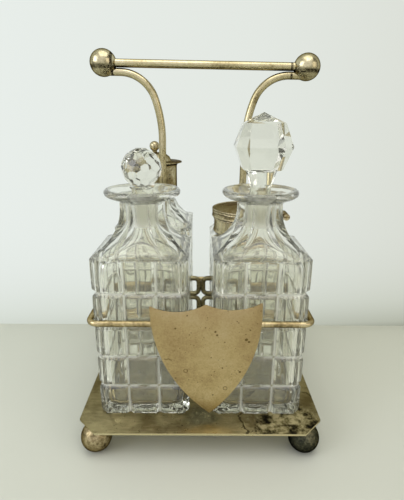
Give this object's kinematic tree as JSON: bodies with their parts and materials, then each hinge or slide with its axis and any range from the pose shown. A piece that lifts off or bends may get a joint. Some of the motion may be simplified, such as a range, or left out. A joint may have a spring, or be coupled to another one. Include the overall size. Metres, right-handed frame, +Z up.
{
  "type": "decanter stand",
  "caption": "Carrying stand with a clipped tray on ball feet, twin-stem handle, wire rails and shield, holding block-cut glass decanters, a capped caster and a lidded jar.",
  "frame": {"origin": "on the surface the feet stand on, below the middle of the tray", "axes": "+Z up, +X to the right along the handle bar, the shield faces -Y"},
  "size_m": [0.212, 0.222, 0.3374],
  "materials": {
    "worn_plate": "worn silver plate over nickel brass, tarnished",
    "shield_brass": "warm worn plate, lightly pitted",
    "bare_brass": "dull brass",
    "cut_glass": "clear cut glass",
    "crystal": "clear faceted glass"
  },
  "bodies": {
    "stand": {"base_plate": "worn_plate", "foot_front_left": "worn_plate", "foot_front_right": "worn_plate", "foot_back_left": "worn_plate", "foot_back_right": "worn_plate", "upright_left": "worn_plate", "upright_right": "worn_plate", "upright_nuts": "bare_brass", "handle_bar": "worn_plate", "handle_ball_left": "worn_plate", "handle_ball_right": "worn_plate", "front_rail": "worn_plate", "back_rail": "worn_plate", "row_divider": "worn_plate", "shield": "shield_brass"},
    "left_decanter": {"decanter_left": "cut_glass"},
    "left_stopper": {"stopper_left": "crystal"},
    "right_decanter": {"decanter_right": "cut_glass"},
    "right_stopper": {"stopper_right": "crystal"},
    "caster": {"caster_bottle": "cut_glass", "caster_collar": "worn_plate"},
    "caster_top": {"caster_cap": "worn_plate", "caster_finial": "worn_plate"},
    "jar": {"jar_glass": "cut_glass", "jar_collar": "worn_plate", "jar_hinge_pin": "bare_brass"},
    "lid": {"jar_lid": "worn_plate"}
  },
  "joints": [
    {"name": "left_decanter_lift", "type": "slide", "parent": "stand", "child": "left_decanter", "axis": [0, 0, 1], "range_m": [0, 0.11]},
    {"name": "right_decanter_lift", "type": "slide", "parent": "stand", "child": "right_decanter", "axis": [0, 0, 1], "range_m": [0, 0.11]},
    {"name": "caster_lift", "type": "slide", "parent": "stand", "child": "caster", "axis": [0, 0, 1], "range_m": [0, 0.11]},
    {"name": "jar_lift", "type": "slide", "parent": "stand", "child": "jar", "axis": [0, 0, 1], "range_m": [0, 0.11]},
    {"name": "left_stopper_pull", "type": "slide", "parent": "left_decanter", "child": "left_stopper", "axis": [0, 0, 1], "range_m": [0, 0.03]},
    {"name": "right_stopper_pull", "type": "slide", "parent": "right_decanter", "child": "right_stopper", "axis": [0, 0, 1], "range_m": [0, 0.03]},
    {"name": "caster_top_pull", "type": "slide", "parent": "caster", "child": "caster_top", "axis": [0, 0, 1], "range_m": [0, 0.03]},
    {"name": "lid_hinge", "type": "hinge", "parent": "jar", "child": "lid", "pos_m": [0.0924, 0.0493, 0.17902], "axis": [0, 1, 0], "range_deg": [0, 105]}
  ]
}
